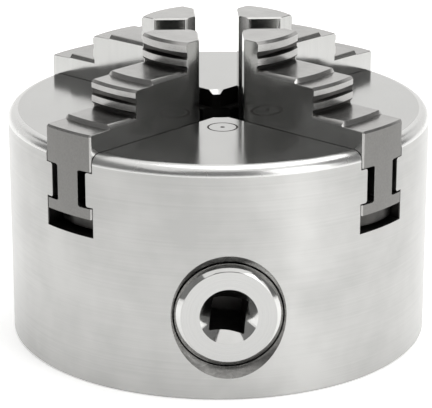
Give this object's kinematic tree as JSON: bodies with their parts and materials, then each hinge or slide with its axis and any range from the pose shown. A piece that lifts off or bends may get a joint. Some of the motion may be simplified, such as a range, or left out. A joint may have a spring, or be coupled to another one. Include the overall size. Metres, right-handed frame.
{
  "type": "lathe chuck",
  "caption": "Self-centring lathe chuck with stepped hard jaws driven together by a scroll plate and square-socket key pinions.",
  "frame": {"origin": "centre of the rear mounting face, on the spindle axis", "axes": "+Z along the spindle axis from the rear mounting face to the jaws; -Y towards the front key socket; the jaws slide along the diagonals between X and Y"},
  "size_m": [0.0998, 0.0998, 0.0745],
  "materials": {
    "ground_steel": "ground and finely turned",
    "hardened_jaw": "hardened and ground",
    "pinion_steel": "turned, polished rim",
    "scroll_steel": "milled, oiled",
    "cover_steel": "turned",
    "black_oxide": "black oxide"
  },
  "bodies": {
    "body": {"chuck_body": "ground_steel", "rear_cover": "cover_steel", "cover_screw_1": "black_oxide", "cover_screw_2": "black_oxide", "cover_screw_3": "black_oxide", "cover_screw_4": "black_oxide", "cover_screw_5": "black_oxide", "cover_screw_6": "black_oxide", "pinion_screw_front": "black_oxide", "pinion_screw_rear": "black_oxide"},
    "scroll": {"scroll_plate": "scroll_steel"},
    "front_pinion": {"pinion_front": "pinion_steel"},
    "rear_pinion": {"pinion_rear": "pinion_steel"},
    "jaw_a": {"jaw_1": "hardened_jaw"},
    "jaw_b": {"jaw_2": "hardened_jaw"},
    "jaw_c": {"jaw_3": "hardened_jaw"},
    "jaw_d": {"jaw_4": "hardened_jaw"}
  },
  "joints": [
    {"name": "scroll_spin", "type": "hinge", "parent": "body", "child": "scroll", "pos_m": [0, 0, 0.0355], "axis": [0, 0, -1], "range_deg": [-480, 720]},
    {"name": "front_pinion_spin", "type": "hinge", "parent": "body", "child": "front_pinion", "pos_m": [0, -0.04, 0.0199], "axis": [0, -1, 0], "range_deg": [-1640, 2456]},
    {"name": "rear_pinion_spin", "type": "hinge", "parent": "body", "child": "rear_pinion", "pos_m": [0, 0.04, 0.0199], "axis": [0, 1, 0], "range_deg": [-1640, 2456]},
    {"name": "jaw_a_slide", "type": "slide", "parent": "body", "child": "jaw_a", "axis": [0.7071, 0.7071, 0], "range_m": [-0.0067, 0.01001]},
    {"name": "jaw_b_slide", "type": "slide", "parent": "body", "child": "jaw_b", "axis": [-0.7071, 0.7071, 0], "range_m": [-0.0067, 0.01001]},
    {"name": "jaw_c_slide", "type": "slide", "parent": "body", "child": "jaw_c", "axis": [-0.7071, -0.7071, 0], "range_m": [-0.0067, 0.01001]},
    {"name": "jaw_d_slide", "type": "slide", "parent": "body", "child": "jaw_d", "axis": [0.7071, -0.7071, 0], "range_m": [-0.0067, 0.01001]}
  ],
  "couplings": [
    {"joint": "front_pinion_spin", "follows": "scroll_spin", "ratio": 3.4},
    {"joint": "rear_pinion_spin", "follows": "scroll_spin", "ratio": 3.4},
    {"joint": "jaw_a_slide", "follows": "scroll_spin", "m_per_rad": 0.00079577},
    {"joint": "jaw_b_slide", "follows": "scroll_spin", "m_per_rad": 0.00079577},
    {"joint": "jaw_c_slide", "follows": "scroll_spin", "m_per_rad": 0.00079577},
    {"joint": "jaw_d_slide", "follows": "scroll_spin", "m_per_rad": 0.00079577}
  ]
}
